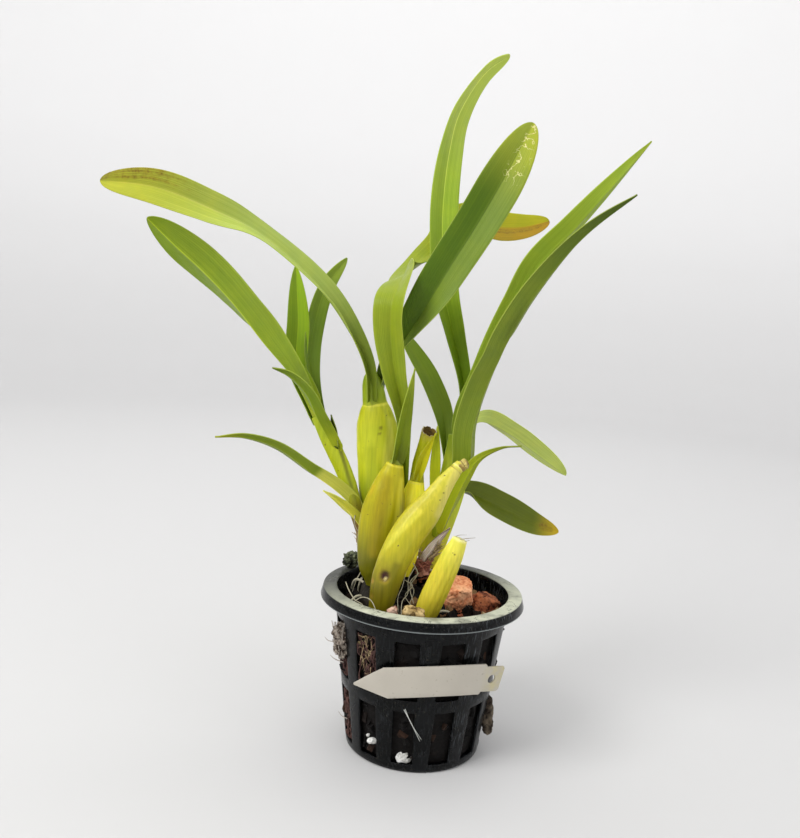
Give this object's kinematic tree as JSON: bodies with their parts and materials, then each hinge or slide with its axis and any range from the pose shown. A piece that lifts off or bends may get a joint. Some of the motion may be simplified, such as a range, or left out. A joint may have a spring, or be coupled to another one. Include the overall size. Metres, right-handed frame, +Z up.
{
  "type": "potted orchid plant",
  "caption": "Potted miltonia orchid: yellow-green pseudobulbs and arching strap leaves in a slotted black net pot with a plant label.",
  "frame": {"origin": "middle of the pot's flat underside", "axes": "+Z up along the pot's axis, +X to the right of the pictured front, +Y to the back"},
  "size_m": [0.235, 0.1234, 0.339],
  "materials": {
    "pot_plastic": "satin",
    "potting_mix": "matte",
    "root": "matte",
    "label": "satin",
    "bulb": "satin",
    "leaf": "satin",
    "dark_leaf": "satin",
    "yellow_leaf": "satin",
    "sheath": "matte",
    "paper_sheath": "matte",
    "brick": "matte",
    "dark_brick": "matte",
    "bark": "matte",
    "charcoal": "matte"
  },
  "bodies": {
    "root": {"pot": "pot_plastic", "potting_mix": "potting_mix", "rhizome": "root", "plant_label": "label", "pseudobulb_back": "bulb", "pseudobulb_left": "bulb", "pseudobulb_middle": "bulb", "pseudobulb_front": "bulb", "pseudobulb_cut": "bulb", "stem_left": "leaf", "stem_right": "leaf", "leaf_long_left": "yellow_leaf", "leaf_broad_front": "dark_leaf", "leaf_left_bulb": "leaf", "leaf_stub_middle": "yellow_leaf", "leaf_centre_twisted": "yellow_leaf", "leaf_broad_left": "leaf", "leaf_left_inner": "leaf", "leaf_left_back": "dark_leaf", "leaf_left_short": "leaf", "leaf_left_low": "leaf", "sheath_left_pointed": "sheath", "sheath_left_small": "dark_leaf", "leaf_right_front": "leaf", "leaf_right_long": "leaf", "leaf_tall_back": "leaf", "leaf_centre_back": "dark_leaf", "leaf_right_drooping": "leaf", "leaf_right_thin": "leaf", "leaf_right_low": "dark_leaf", "leaf_inner_small": "yellow_leaf", "papery_sheath": "paper_sheath", "cut_sheath": "sheath", "brick_large": "brick", "brick_dark": "dark_brick", "brick_small": "dark_brick", "bark_tan": "bark", "bark_pink": "brick", "bark_small": "bark", "bark_flake": "bark", "fibre_clump": "sheath", "charcoal": "charcoal"}
  },
  "joints": []
}
